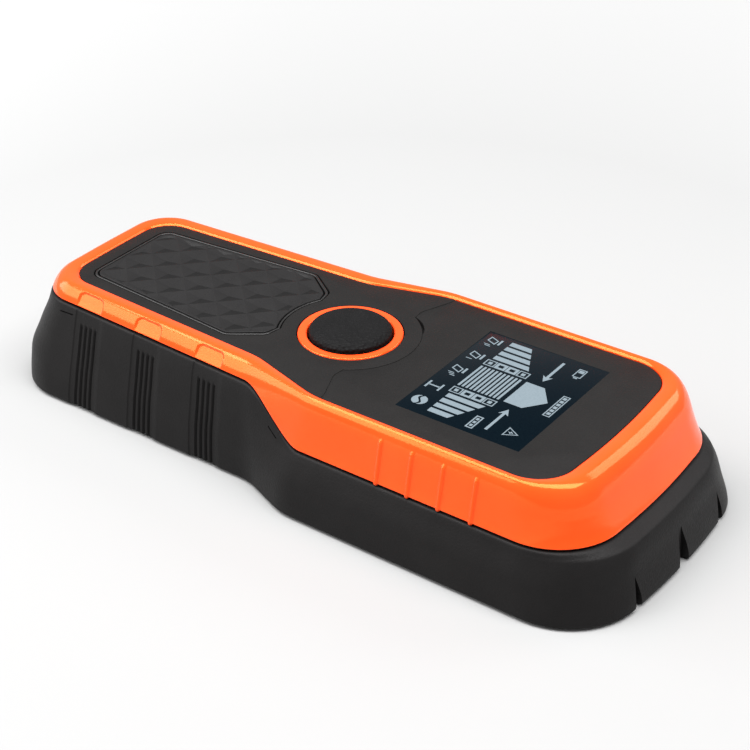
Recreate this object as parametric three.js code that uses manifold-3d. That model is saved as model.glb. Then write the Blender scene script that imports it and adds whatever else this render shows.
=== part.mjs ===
// Hand-held stud finder: battery handle, thumb button, display head and sensing base.
// Millimetres, +Z up out of the display, +Y towards the sensing nose, +X to the right.
// Origin: centre of the underside's footprint, on the plane that the glide pads rest on.
import * as THREE from 'three';
import { mergeVertices } from 'three/addons/utils/BufferGeometryUtils.js';
import Module from 'manifold-3d';

const wasm = await Module();
wasm.setup();

// ---------------------------------------------------------------- driving dimensions
const TOP = 29.3; // flat top of the handle panel
const FOOT = 0.3; // underside of the case, above the glide pads' faces
const WALL = 2.2; // moulded wall of the case
const FLOOR = FOOT + WALL; // inner face of the case floor
const GAP = 0.3; // clearance between neighbouring pieces
const PARTING = 0.3; // open line between the orange frame and the black base
const LIP_HEIGHT = 1.5; // tongue of the base that stands up inside the frame
const LIP_INSET = 1.2; // how far the tongue is set back from the outside
const ARC_STEPS = 4; // chords to each rounded corner of an outline
const ABOVE = 40; // height that clears the top of every piece
const PAST = 120; // distance that clears both ends of the case

const SEAM_HANDLE = 26.0; // parting line round the handle
const SEAM_HEAD = 16.3; // parting line round the head
const SEAM_DROP = { from: -12, to: 7.5 }; // stretch of Y where it steps down

const SCREEN = { x: 40.5, y: 32.9, cy: 41.4 }; // visible display
const BUTTON = { y: -1.9, ringOuter: 12.75, ringInner: 10.5, travel: 1.2 };
const BATTERY = { x: 26.5, y: 48.5, z: 17.5, tail: -81.5, base: 2.8 }; // 9 V block
const BOARD = { bottom: 15.2, thick: 1.6, tail: -12, nose: 72, half: 28, neck: 22.5, neckEnd: 6 };
const CASE_SCREWS = [[26, 64], [-26, 64], [21, -17.5], [-21, -17.5]];
const BOARD_SCREWS = [[25, 14], [-25, 14], [24, 54], [-24, 54]];
const GLIDE_PADS = [[22, 74], [-22, 74], [23.5, -62], [-23.5, -62]];

// Outline of the case at one height. tail and nose give the end's corner Y and how far its
// middle bulges past it; handle and head give half-widths at the start and end of each
// stretch; waist gives the Y where the handle ends and the head begins.
const LEVELS = [
  { z: 0.3, tail: [-88.9, 0.6], handle: [30.2, 30.7], waist: [-9.5, 4.5],
    head: [36.5, 37.5], nose: [87.1, 2.9], radii: [14.5, 16, 16, 18.4] },
  { z: 1.0, tail: [-89.6, 0.6], handle: [30.9, 31.4], waist: [-9.5, 4.5],
    head: [37.2, 38.2], nose: [87.8, 2.9], radii: [15.5, 16, 16, 19] },
  { z: 8.5, tail: [-89.4, 0.6], handle: [29.15, 31.2], waist: [-9.8, 4.8],
    head: [36.5, 37.3], nose: [86.2, 2.8], radii: [14.4, 16, 16, 20.5] },
  { z: 15.0, tail: [-87.1, 0.6], handle: [27.3, 30.3], waist: [-10.8, 5.9],
    head: [34.1, 34.7], nose: [85.2, 2.5], radii: [13.2, 18, 18, 20] },
  { z: 16.5, tail: [-86.3, 0.6], handle: [26.8, 30.1], waist: [-11, 6.1],
    head: [33.3, 34.1], nose: [80.9, 2.3], radii: [13, 18, 18, 16.8] },
  { z: 22.3, tail: [-83.9, 0.5], handle: [25.2, 29.3], waist: [-11.9, 7],
    head: [32.1, 32.8], nose: [78.7, 2.2], radii: [12, 20, 20, 15.5] },
  { z: 26.0, tail: [-82.7, 0.5], handle: [24.1, 28.0], waist: [-12.2, 7.4],
    head: [31.4, 32.0], nose: [77.3, 2.2], radii: [11, 20, 20, 14.5] },
  { z: 27.9, tail: [-82.0, 0.4], handle: [23.2, 27.0], waist: [-12.4, 7.6],
    head: [30.9, 31.4], nose: [76.3, 2.2], radii: [10.6, 21, 22, 13.8] },
  { z: 29.4, tail: [-80.9, 0.3], handle: [22.0, 25.6], waist: [-12.5, 7.8],
    head: [30.1, 30.5], nose: [74.8, 2.2], radii: [10, 22, 23, 12.6] },
  { z: 29.95, tail: [-79.6, 0.3], handle: [20.8, 24.3], waist: [-12.5, 7.8],
    head: [29.3, 29.7], nose: [73.0, 2.2], radii: [9.3, 22, 23, 11.4] },
  { z: 29.7, tail: [-77.6, 0.2], handle: [18.9, 22.35], waist: [-12.6, 7.9],
    head: [28.4, 28.75], nose: [70.8, 2.15], radii: [8.3, 22, 24, 10.1] },
  { z: 29.3, tail: [-77.1, 0.2], handle: [18.4, 21.85], waist: [-12.6, 7.9],
    head: [27.95, 28.3], nose: [70.25, 2.15], radii: [8, 22, 24, 9.8] },
];
const NOSE_ROUND = 200; // radius where the two halves of an end meet

// ---------------------------------------------------------------- materials
function plastic(color, roughness) {
  return new THREE.MeshStandardMaterial({ color, roughness, metalness: 0 });
}

function metal(color, roughness) {
  return new THREE.MeshStandardMaterial({ color, roughness, metalness: 1 });
}

const MATERIALS = {
  blackShell: () => plastic(0x2a2829, 0.6),
  orangeShell: () => plastic(0xff703c, 0.25),
  panel: () => plastic(0x383433, 0.7),
  rubber: () => plastic(0x262525, 0.9),
  lens: () => plastic(0x18222e, 0.08),
  glass: () => plastic(0x1a2430, 0.2),
  whitePlastic: () => plastic(0xe8e8e4, 0.5),
  boardGreen: () => plastic(0x1f6b3a, 0.45),
  chipBlack: () => plastic(0x151515, 0.5),
  copper: () => metal(0xb87333, 0.35),
  steel: () => metal(0xb8babd, 0.35),
  batteryCan: () => metal(0x9aa0a8, 0.4),
  felt: () => plastic(0x3a3a3c, 1),
  redWire: () => plastic(0xb02020, 0.5),
  blackWire: () => plastic(0x1a1a1a, 0.5),
};

// ---------------------------------------------------------------- geometry helpers
function toSolid(geometry) {
  const bare = geometry.clone();
  bare.deleteAttribute('normal');
  bare.deleteAttribute('uv');
  const merged = mergeVertices(bare, 1e-4);
  return new wasm.Manifold(new wasm.Mesh({
    numProp: 3,
    vertProperties: new Float32Array(merged.attributes.position.array),
    triVerts: new Uint32Array(merged.index.array),
  }));
}

function toGeometry(solid) {
  const mesh = solid.getMesh();
  const geometry = new THREE.BufferGeometry();
  geometry.setAttribute('position', new THREE.BufferAttribute(mesh.vertProperties, 3));
  geometry.setIndex(new THREE.BufferAttribute(mesh.triVerts, 1));
  geometry.computeVertexNormals();
  return geometry;
}

function box(x0, x1, y0, y1, z0, z1) {
  const geometry = new THREE.BoxGeometry(x1 - x0, y1 - y0, z1 - z0);
  geometry.translate((x0 + x1) / 2, (y0 + y1) / 2, (z0 + z1) / 2);
  return toSolid(geometry);
}

function post(x, y, z0, z1, radius, sides = 16) {
  const geometry = new THREE.CylinderGeometry(radius, radius, z1 - z0, sides);
  geometry.rotateX(Math.PI / 2);
  geometry.translate(x, y, (z0 + z1) / 2);
  return toSolid(geometry);
}

// A turned piece: profile points are [radius, z] and start and end on the axis or close.
function turned(profile, x, y, sides = 40) {
  const geometry = new THREE.LatheGeometry(profile.map(([r, z]) => new THREE.Vector2(r, z)), sides);
  geometry.rotateX(Math.PI / 2);
  geometry.translate(x, y, 0);
  return toSolid(geometry);
}

function union(solids) {
  return solids.reduce((sum, solid) => sum.add(solid));
}

// Arc that rounds one corner of a polygon, as points from the edge before to the edge after.
function cornerArc(before, corner, after, radius, steps) {
  if (radius === 0) return [corner.clone()];
  const back = before.clone().sub(corner).normalize();
  const ahead = after.clone().sub(corner).normalize();
  const halfAngle = Math.acos(THREE.MathUtils.clamp(back.dot(ahead), -1, 1)) / 2;
  const middle = back.clone().add(ahead).normalize();
  const centre = corner.clone().addScaledVector(middle, radius / Math.sin(halfAngle));
  const reach = radius / Math.tan(halfAngle);
  const start = corner.clone().addScaledVector(back, reach).sub(centre).angle();
  const end = corner.clone().addScaledVector(ahead, reach).sub(centre).angle();
  const sweep = THREE.MathUtils.euclideanModulo(end - start + Math.PI, 2 * Math.PI) - Math.PI;
  const points = [];
  for (let i = 0; i <= steps; i += 1) {
    const angle = start + (sweep * i) / steps;
    points.push(new THREE.Vector2(Math.cos(angle), Math.sin(angle)).multiplyScalar(radius).add(centre));
  }
  return points;
}

// Closed loop through corners given as [x, y, radius]; a shallow bend takes fewer chords.
function roundedLoop(corners, steps = ARC_STEPS) {
  const points = corners.map(([x, y]) => new THREE.Vector2(x, y));
  return corners.flatMap((corner, i) => {
    const before = points[(i + points.length - 1) % points.length];
    const after = points[(i + 1) % points.length];
    return cornerArc(before, points[i], after, corner[2], corner[2] === NOSE_ROUND ? 2 : steps);
  });
}

function rectangle(halfX, y0, y1, radius) {
  return roundedLoop([
    [halfX, y0, radius], [halfX, y1, radius], [-halfX, y1, radius], [-halfX, y0, radius],
  ], 3);
}

// Case outline at one level, pulled in by inset all round.
function caseLoop(level, inset = 0) {
  const [tailY, tailBulge] = level.tail;
  const [noseY, noseBulge] = level.nose;
  const [tailRound, neckRound, shoulderRound, noseRound] = level.radii;
  const right = [
    [level.handle[0] - inset, tailY + inset, tailRound - inset],
    [level.handle[1] - inset, level.waist[0], neckRound + inset],
    [level.head[0] - inset, level.waist[1], shoulderRound - inset],
    [level.head[1] - inset, noseY - inset, noseRound - inset],
  ];
  const left = right.map(([x, y, r]) => [-x, y, r]).reverse();
  const tail = [0, tailY - tailBulge + inset, NOSE_ROUND];
  const nose = [0, noseY + noseBulge - inset, NOSE_ROUND];
  return roundedLoop([tail, ...right, nose, ...left]);
}

// Solid through a stack of loops with equal point counts, capped at both ends.
function loft(rings) {
  const count = rings[0].loop.length;
  const positions = rings.flatMap(({ loop, z }) => loop.flatMap((p) => [p.x, p.y, z]));
  const index = [];
  for (let ring = 0; ring + 1 < rings.length; ring += 1) {
    for (let k = 0; k < count; k += 1) {
      const a = ring * count + k;
      const b = ring * count + ((k + 1) % count);
      index.push(a, b, b + count, a, b + count, a + count);
    }
  }
  const lastRing = (rings.length - 1) * count;
  for (const [a, b, c] of THREE.ShapeUtils.triangulateShape(rings[0].loop, [])) {
    index.push(c, b, a);
  }
  for (const [a, b, c] of THREE.ShapeUtils.triangulateShape(rings.at(-1).loop, [])) {
    index.push(lastRing + a, lastRing + b, lastRing + c);
  }
  const geometry = new THREE.BufferGeometry();
  geometry.setAttribute('position', new THREE.Float32BufferAttribute(positions, 3));
  geometry.setIndex(index);
  return toSolid(geometry);
}

function prism(loop, z0, z1) {
  return loft([{ loop, z: z0 }, { loop, z: z1 }]);
}

// The case's outside, or a copy of it pulled in by inset and lowered by drop.
function caseBody(inset = 0, drop = 0) {
  return loft(LEVELS.map((level) => ({ loop: caseLoop(level, inset), z: level.z - drop })));
}

// Height of the parting line at a place along the case.
function seamHeight(y) {
  const t = THREE.MathUtils.smoothstep(y, SEAM_DROP.from, SEAM_DROP.to);
  return THREE.MathUtils.lerp(SEAM_HANDLE, SEAM_HEAD, t);
}

// Everything that lies above (or below) the parting line moved up by rise.
function seamRegion(rise, above) {
  const steps = 12;
  const far = above ? ABOVE : -ABOVE;
  const outline = [new THREE.Vector2(-PAST, far), new THREE.Vector2(-PAST, SEAM_HANDLE + rise)];
  for (let i = 0; i <= steps; i += 1) {
    const y = THREE.MathUtils.lerp(SEAM_DROP.from, SEAM_DROP.to, i / steps);
    outline.push(new THREE.Vector2(y, seamHeight(y) + rise));
  }
  outline.push(new THREE.Vector2(PAST, SEAM_HEAD + rise), new THREE.Vector2(PAST, far));
  const geometry = new THREE.ExtrudeGeometry(new THREE.Shape(outline), {
    depth: 2 * PAST, bevelEnabled: false,
  });
  geometry.rotateX(Math.PI / 2);
  geometry.rotateZ(Math.PI / 2);
  geometry.translate(-PAST, 0, 0);
  return toSolid(geometry);
}

// Everything between two heights.
function layer(z0, z1) {
  return box(-PAST, PAST, -PAST, PAST, z0, z1);
}

// ---------------------------------------------------------------- assembly
const assembly = new THREE.Group();

function addPiece(name, solid, material) {
  const mesh = new THREE.Mesh(toGeometry(solid), material());
  mesh.name = name;
  assembly.add(mesh);
}

// ---------------------------------------------------------------- case
const DOOR = { half: 15.5, railHalf: 16.9, inner: -24.5, top: 2.2, railBottom: 1.4 };
const BAY = { half: 13.9, tail: -82, nose: -26, wall: 1.4, top: 20.5 };
const BOSS = { radius: 3.3, footRadius: 4.2, footTop: 6.5, split: 15.9, top: 25.8 };
const PAD = { radius: 3.5, thick: 1.0 };
const SCREW = { shank: 1.4, head: 2.6, hole: 1.7, recess: 3.0, seat: 4.3, taper: 23, tip: 24 };

// V-shaped marking notches in the nose's lower edge: [centre x, width, height].
const NOTCHES = [[0, 4, 11], [19.4, 2.8, 8], [-19.4, 2.8, 8]];
const NOTCH_CUT = { face: 90.4, bow: 300, outside: 2.4, inside: 1.6 }; // nose face and reach

function notchCutter([x, width, height]) {
  const outline = new THREE.Shape([
    new THREE.Vector2(-width / 2, 0), new THREE.Vector2(width / 2, 0), new THREE.Vector2(0, height),
  ]);
  const { face, bow, outside, inside } = NOTCH_CUT;
  const geometry = new THREE.ExtrudeGeometry(outline, {
    depth: outside + inside, bevelEnabled: false,
  });
  geometry.rotateX(Math.PI / 2);
  geometry.translate(x, face - (x * x) / bow + outside, FOOT - 0.1);
  return toSolid(geometry);
}

function screwBosses() {
  return union(CASE_SCREWS.flatMap(([x, y]) => [
    post(x, y, FOOT + 1, BOSS.footTop, BOSS.footRadius),
    post(x, y, FOOT + 1, BOSS.split, BOSS.radius),
  ]));
}

function screwHoles() {
  return union(CASE_SCREWS.flatMap(([x, y]) => [
    post(x, y, FOOT - 1, SCREW.seat, SCREW.recess),
    post(x, y, FOOT, ABOVE, SCREW.hole),
  ]));
}

function boardPosts() {
  return union(BOARD_SCREWS.map(([x, y]) => post(x, y, FLOOR - 0.5, BOARD.bottom - GAP, 2.8)));
}

function boardPostHoles() {
  return union(BOARD_SCREWS.map(([x, y]) => post(x, y, 10, 30, 1.4, 12)));
}

// Side and nose walls that hold the battery, and the thick rails that the door slides in.
function batteryBay() {
  const outer = BAY.half + BAY.wall;
  const noseWall = box(-outer, outer, BAY.nose, BAY.nose + BAY.wall, FLOOR - 0.5, BAY.top);
  const walls = [-1, 1].map((side) => {
    const [x0, x1] = side > 0 ? [BAY.half, outer] : [-outer, -BAY.half];
    return box(x0, x1, BAY.tail - 2, BAY.nose + BAY.wall, FLOOR - 0.5, BAY.top);
  });
  const rails = [-1, 1].map((side) => {
    const [x0, x1] = side > 0 ? [BAY.half, 19] : [-19, -BAY.half];
    return box(x0, x1, BAY.tail - 4, DOOR.inner + 2, FLOOR - 0.5, FLOOR + 1.2);
  });
  return union([noseWall, ...walls, ...rails]);
}

// Room for the door: the bay's mouth, the plate's slot and the groove for its two rails.
function doorway() {
  const end = DOOR.inner + GAP;
  return union([
    box(-BAY.half, BAY.half, BAY.tail, BAY.nose, 0, FLOOR + 2),
    box(-DOOR.half - GAP, DOOR.half + GAP, -PAST, end, 0, DOOR.top + GAP),
    box(-DOOR.railHalf - GAP, DOOR.railHalf + GAP, -PAST, end,
      DOOR.railBottom - GAP, DOOR.top + GAP),
  ]);
}

// Relief in the bay's nose wall where the two battery leads pass.
function leadSlot() {
  return box(-6, 6, BAY.nose - 1, BAY.nose + BAY.wall + 1, 17, BAY.top + 1);
}

function padPockets() {
  return union(GLIDE_PADS.map(([x, y]) => post(x, y, 0, PAD.thick + 0.2, PAD.radius + GAP, 24)));
}

function lowerShell() {
  const cavity = caseBody(WALL).intersect(layer(FLOOR, ABOVE));
  const wall = caseBody().subtract(cavity).subtract(seamRegion(0, true));
  const lip = caseBody(LIP_INSET).subtract(caseBody(WALL - 0.05))
    .intersect(layer(FLOOR + 2, ABOVE))
    .subtract(seamRegion(LIP_HEIGHT, true));
  const inside = caseBody(WALL - 0.5).subtract(seamRegion(-0.5, true));
  const fittings = union([screwBosses(), boardPosts(), batteryBay()]).intersect(inside);
  let shell = union([wall, lip, fittings]);
  for (const notch of NOTCHES) {
    shell = shell.subtract(notchCutter(notch));
  }
  return shell.subtract(doorway()).subtract(leadSlot()).subtract(screwHoles())
    .subtract(boardPostHoles()).subtract(padPockets());
}

// Orange frame: outer wall down to the parting line, with a ledge inside its top opening
// that carries the handle panel and the screen bezel, and the upper halves of the bosses.
// The ledge hangs from the underside of the frame by a web round its outside.
const LEDGE = { width: 2.6, top: 27.0, bottom: 25.2, web: 1.2, webTop: 28.2 };

function openingLoop(inset) {
  return caseLoop(LEVELS.at(-1), inset);
}

function upperFrame() {
  const tongueRoom = caseBody(LIP_INSET - GAP).subtract(seamRegion(LIP_HEIGHT + GAP, true));
  const skin = caseBody().subtract(caseBody(WALL, WALL)).subtract(tongueRoom)
    .subtract(seamRegion(PARTING, false));
  const ledge = prism(openingLoop(-LEDGE.web), LEDGE.bottom, LEDGE.webTop)
    .intersect(caseBody(WALL / 2, WALL / 2))
    .subtract(prism(openingLoop(LEDGE.width), LEDGE.bottom - 1, ABOVE));
  const bosses = union(CASE_SCREWS.map(([x, y]) => (
    post(x, y, BOSS.split + GAP, BOSS.top, BOSS.radius)
  )));
  const holes = union(CASE_SCREWS.map(([x, y]) => post(x, y, 0, BOSS.top - 1.2, SCREW.hole)));
  return union([skin, ledge, bosses]).subtract(prism(openingLoop(0), LEDGE.top, ABOVE))
    .subtract(holes);
}

addPiece('lower_shell', lowerShell(), MATERIALS.blackShell);
addPiece('upper_frame', upperFrame(), MATERIALS.orangeShell);

// ---------------------------------------------------------------- top plates
const PLATE = { bottom: 27.3, bezelTop: 29.2, ringGap: 0.25 };
const COLLAR = { radius: 17.2 }; // apron of the handle panel round the button
const SPLIT = { edge: 9.8, inner: 6.4, bendX: 26.5, innerX: 18 }; // where the plates meet

// Boundary between the two plates: an apron round the button that runs out to the sides.
function handleSideRegion(grow) {
  const radius = COLLAR.radius + grow;
  const arcStart = THREE.MathUtils.degToRad(30);
  const arc = [];
  const steps = 12;
  for (let i = 0; i <= steps; i += 1) {
    const angle = arcStart + ((Math.PI - 2 * arcStart) * i) / steps;
    arc.push([radius * Math.cos(angle), BUTTON.y + radius * Math.sin(angle), 0]);
  }
  const side = [[PAST, -PAST, 0], [PAST, SPLIT.edge + grow, 0],
    [SPLIT.bendX, SPLIT.edge + grow, 6], [SPLIT.innerX, SPLIT.inner + grow, 3]];
  const farSide = side.map(([x, y, r]) => [-x, y, r]).reverse();
  return prism(roundedLoop([...side, ...arc, ...farSide], 3), 0, ABOVE);
}

const PAD_FIELD = { tail: -72.1, tailHalf: 13.7, waist: -42.9, waistHalf: 16.0,
  shoulder: -26.1, shoulderHalf: 17.5, tip: -18.4, tipHalf: 11.8, bay: 17.9 };

// Outline of the grip pad; its nose end is hollowed to run round the button.
function gripLoop(inset) {
  const f = PAD_FIELD;
  const right = [
    [f.tailHalf - inset, f.tail + inset, 3],
    [f.waistHalf - inset, f.waist, 40],
    [f.shoulderHalf - inset, f.shoulder - inset * 0.5, 3],
    [f.tipHalf - inset, f.tip - inset, 3],
  ];
  const arc = [];
  const steps = 6;
  const spread = THREE.MathUtils.degToRad(29);
  for (let i = 0; i <= steps; i += 1) {
    const angle = -Math.PI / 2 + spread * (1 - (2 * i) / steps);
    arc.push([(f.bay + inset) * Math.cos(angle), BUTTON.y + (f.bay + inset) * Math.sin(angle), 0]);
  }
  const left = right.map(([x, y, r]) => [-x, y, r]).reverse();
  return roundedLoop([...right, ...arc, ...left], 3);
}

const GRIP = { bottom: 28.1, top: 29.35 };

function handlePanel() {
  return prism(openingLoop(GAP), PLATE.bottom, TOP)
    .intersect(handleSideRegion(-PLATE.ringGap / 2))
    .subtract(prism(gripLoop(-GAP), GRIP.bottom - GAP, ABOVE))
    .subtract(post(0, BUTTON.y, 0, ABOVE, BUTTON.ringOuter + GAP, 48));
}

function screenBezel() {
  const halfX = SCREEN.x / 2;
  const halfY = SCREEN.y / 2;
  return prism(openingLoop(GAP), PLATE.bottom, PLATE.bezelTop)
    .subtract(handleSideRegion(PLATE.ringGap / 2))
    .subtract(box(-halfX, halfX, SCREEN.cy - halfY, SCREEN.cy + halfY, 0, ABOVE));
}

addPiece('handle_panel', handlePanel(), MATERIALS.panel);
addPiece('screen_bezel', screenBezel(), MATERIALS.panel);
addPiece('grip_pad', prism(gripLoop(0), GRIP.bottom, GRIP.top), MATERIALS.rubber);

// ---------------------------------------------------------------- button
const RING = { flange: 14.2, bottom: 25.4, shoulder: 27.0, top: 29.45 };
const CAP = { radius: 10.15, flange: 12.0, bottom: 23.6, shoulder: 25.0, rim: 30.1, crown: 31.6 };
const PLUNGER = { radius: 3.2, bottom: 22.3 };
const SWITCH = { half: 6, bottom: 17.1, top: 20.4, stem: 1.75, stemTop: 22.0 };

addPiece('button_ring', turned([
  [BUTTON.ringInner, RING.bottom], [RING.flange, RING.bottom], [RING.flange, RING.shoulder],
  [BUTTON.ringOuter, RING.shoulder], [BUTTON.ringOuter, RING.top - 0.4],
  [BUTTON.ringOuter - 0.4, RING.top], [BUTTON.ringInner + 0.4, RING.top],
  [BUTTON.ringInner, RING.top - 0.4], [BUTTON.ringInner, RING.bottom],
], 0, BUTTON.y, 36), MATERIALS.orangeShell);

addPiece('button_cap', turned([
  [0, CAP.bottom], [CAP.flange, CAP.bottom], [CAP.flange, CAP.shoulder], [CAP.radius, CAP.shoulder],
  [CAP.radius, CAP.rim - 0.8], [CAP.radius - 0.35, CAP.rim], [CAP.radius - 1.4, CAP.rim + 0.7],
  [CAP.radius - 4, CAP.crown - 0.25], [0, CAP.crown],
], 0, BUTTON.y, 36), MATERIALS.rubber);

addPiece('button_plunger', turned([
  [0, PLUNGER.bottom], [PLUNGER.radius, PLUNGER.bottom], [PLUNGER.radius, CAP.bottom - GAP],
  [0, CAP.bottom - GAP],
], 0, BUTTON.y, 16), MATERIALS.whitePlastic);

const stemWell = BUTTON.travel + GAP;
addPiece('switch_body',
  box(-SWITCH.half, SWITCH.half, BUTTON.y - SWITCH.half, BUTTON.y + SWITCH.half,
    SWITCH.bottom, SWITCH.top)
    .subtract(post(0, BUTTON.y, SWITCH.top - 1 - stemWell, ABOVE, SWITCH.stem + GAP, 20)),
  MATERIALS.chipBlack);
addPiece('switch_stem', post(0, BUTTON.y, SWITCH.top - 1, SWITCH.stemTop, SWITCH.stem, 20),
  MATERIALS.whitePlastic);

// ---------------------------------------------------------------- display
const LENS = { bottom: 28.7 };
const LCD = { half: [19.95, 16.15], top: 28.5, thick: 2.5 };
const LIGHT = { half: [19.6, 15.8], thick: 2.6 };
const FRAME = { half: [24, 18.6], bottom: 17.1, wall: 2 };

function centredBox(half, z0, z1) {
  return box(-half[0], half[0], SCREEN.cy - half[1], SCREEN.cy + half[1], z0, z1);
}

addPiece('display_window',
  centredBox([SCREEN.x / 2 - GAP, SCREEN.y / 2 - GAP], LENS.bottom, PLATE.bezelTop), MATERIALS.lens);
addPiece('lcd_panel', centredBox(LCD.half, LCD.top - LCD.thick, LCD.top), MATERIALS.glass);
addPiece('backlight',
  centredBox(LIGHT.half, LCD.top - LCD.thick - GAP - LIGHT.thick, LCD.top - LCD.thick - GAP),
  MATERIALS.whitePlastic);

// Rim that locates the display, standing on the main board with a foot at each corner.
function displayFrame() {
  const inner = [LCD.half[0] + GAP, LCD.half[1] + GAP];
  const rim = centredBox(FRAME.half, 22, PLATE.bottom - GAP).subtract(centredBox(inner, 0, ABOVE));
  const feet = [[1, 1], [1, -1], [-1, 1], [-1, -1]].map(([sx, sy]) => {
    const x = sx * (FRAME.half[0] - FRAME.wall / 2 - 0.2);
    const y = SCREEN.cy + sy * 6;
    return box(x - 1, x + 1, y - 2, y + 2, FRAME.bottom, 22.5);
  });
  return union([rim, ...feet]);
}

addPiece('display_frame', displayFrame(), MATERIALS.whitePlastic);

const zebraTop = LCD.top - LCD.thick - GAP - LIGHT.thick - GAP;
[-1, 1].forEach((side, i) => {
  const y = SCREEN.cy + side * 13;
  addPiece(`zebra_strip_${i + 1}`, box(-16, 16, y - 1.2, y + 1.2, SWITCH.bottom, zebraTop),
    MATERIALS.rubber);
});

// ---------------------------------------------------------------- electronics
const boardTop = BOARD.bottom + BOARD.thick;

function mainBoard() {
  const loop = rectangle(BOARD.half, BOARD.tail, BOARD.nose, 4);
  const sides = box(-PAST, PAST, -PAST, BOARD.neckEnd, 0, ABOVE)
    .subtract(box(-BOARD.neck, BOARD.neck, -PAST, PAST, -1, ABOVE + 1));
  const clearances = CASE_SCREWS.map(([x, y]) => post(x, y, 0, ABOVE, BOSS.radius + 0.6));
  const holes = BOARD_SCREWS.map(([x, y]) => post(x, y, 0, ABOVE, 1.5, 12));
  return prism(loop, BOARD.bottom, boardTop).subtract(union([sides, ...clearances, ...holes]));
}

addPiece('main_board', mainBoard(), MATERIALS.boardGreen);
addPiece('microcontroller',
  box(-5, 5, 36, 46, BOARD.bottom - GAP - 1.4, BOARD.bottom - GAP), MATERIALS.chipBlack);
addPiece('crystal_can', box(8, 12.5, 38, 42, BOARD.bottom - GAP - 3, BOARD.bottom - GAP), MATERIALS.steel);
addPiece('buzzer', turned([
  [0, 6.6], [6, 6.6], [6, BOARD.bottom - GAP], [0, BOARD.bottom - GAP],
], -14, 18, 28), MATERIALS.chipBlack);
addPiece('capacitor', turned([
  [0, 7], [3.15, 7], [3.15, BOARD.bottom - GAP], [0, BOARD.bottom - GAP],
], 14, 4, 24), MATERIALS.chipBlack);

// Sensing board over the floor, with three capacitive plates on its wall side.
const SENSOR = { half: 19, tail: 28, nose: 80, bottom: 4.2, thick: 1.2, plate: 0.4 };
addPiece('sensor_board',
  prism(rectangle(SENSOR.half, SENSOR.tail, SENSOR.nose, 3), SENSOR.bottom, SENSOR.bottom + SENSOR.thick),
  MATERIALS.boardGreen);
[-1, 0, 1].forEach((slot, i) => {
  const x = slot * 12.4;
  addPiece(`sensor_plate_${i + 1}`,
    box(x - 5.2, x + 5.2, SENSOR.tail + 4, SENSOR.nose - 3,
      SENSOR.bottom - GAP - SENSOR.plate, SENSOR.bottom - GAP),
    MATERIALS.copper);
});
addPiece('board_link',
  box(-12, 12, 66, 69, SENSOR.bottom + SENSOR.thick + GAP, BOARD.bottom - GAP), MATERIALS.chipBlack);

BOARD_SCREWS.forEach(([x, y], i) => {
  addPiece(`board_screw_${i + 1}`, turned([
    [0, 11], [1.1, 11], [1.1, boardTop + GAP], [2.3, boardTop + GAP], [2.3, boardTop + 1.4],
    [1.6, boardTop + 1.9], [0, boardTop + 1.9],
  ], x, y, 12), MATERIALS.steel);
});

// ---------------------------------------------------------------- battery
const batteryNose = BATTERY.tail + BATTERY.y;
const batteryMid = BATTERY.base + BATTERY.z / 2;
const CLIP = { thick: 2.2, half: [12.5, 6.2], gap: 3.0 };

// Stud that lies along Y, as the two snap terminals on the battery's end do.
function lyingPost(x, z, y0, y1, radius) {
  const geometry = new THREE.CylinderGeometry(radius, radius, y1 - y0, 18);
  geometry.translate(x, (y0 + y1) / 2, z);
  return toSolid(geometry);
}

function battery() {
  const half = BATTERY.x / 2;
  const outline = roundedLoop([
    [half, BATTERY.base, 2], [half, BATTERY.base + BATTERY.z, 2],
    [-half, BATTERY.base + BATTERY.z, 2], [-half, BATTERY.base, 2],
  ], 3);
  const geometry = new THREE.ExtrudeGeometry(new THREE.Shape(outline), {
    depth: BATTERY.y, bevelEnabled: false,
  });
  geometry.rotateX(Math.PI / 2);
  geometry.translate(0, batteryNose, 0);
  const terminals = [-6.35, 6.35].map((x) => (
    lyingPost(x, batteryMid, batteryNose - 0.5, batteryNose + 2.6, x > 0 ? 2.9 : 3.7)
  ));
  return union([toSolid(geometry), ...terminals]);
}

function batteryClip() {
  const face = batteryNose + CLIP.gap;
  const [halfX, halfZ] = CLIP.half;
  return box(-halfX, halfX, face, face + CLIP.thick, batteryMid - halfZ, batteryMid + halfZ);
}

// Round lead along a smooth path through hand-placed points.
function lead(points, radius) {
  const path = new THREE.CatmullRomCurve3(points.map((p) => new THREE.Vector3(...p)));
  const outline = new THREE.Shape();
  const sides = 8;
  for (let i = 0; i < sides; i += 1) {
    const angle = (2 * Math.PI * i) / sides;
    const corner = [radius * Math.cos(angle), radius * Math.sin(angle)];
    if (i === 0) outline.moveTo(...corner);
    else outline.lineTo(...corner);
  }
  return toSolid(new THREE.ExtrudeGeometry(outline, {
    steps: 14, extrudePath: path, bevelEnabled: false,
  }));
}

addPiece('battery', battery(), MATERIALS.batteryCan);
addPiece('battery_clip', batteryClip(), MATERIALS.chipBlack);
addPiece('battery_foam',
  box(-10, 10, BATTERY.tail + 6, batteryNose - 6, BATTERY.base + BATTERY.z + GAP, 22.4),
  MATERIALS.felt);

[[-3, 'lead_black', MATERIALS.blackWire], [3, 'lead_red', MATERIALS.redWire]].forEach(
  ([x, name, material]) => {
    addPiece(name, lead([
      [x, batteryNose + 4, batteryMid + 6.9], [x, batteryNose + 5, 19.4], [x, -25.3, 19.6],
      [x * 1.3, -20, 19.8], [x * 1.8, -14, 19.6], [x * 2.2, -10.2, 18.2], [x * 2.2, -9.6, 17.2],
    ], 0.75), material);
  },
);

// ---------------------------------------------------------------- door, pads and screws
// Sliding cover under the battery: a plate with a rail along each side and finger grooves.
const GROOVES = { count: 6, first: -80, pitch: 2.4, width: 1.2, half: 9, depth: 0.5 };

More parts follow.
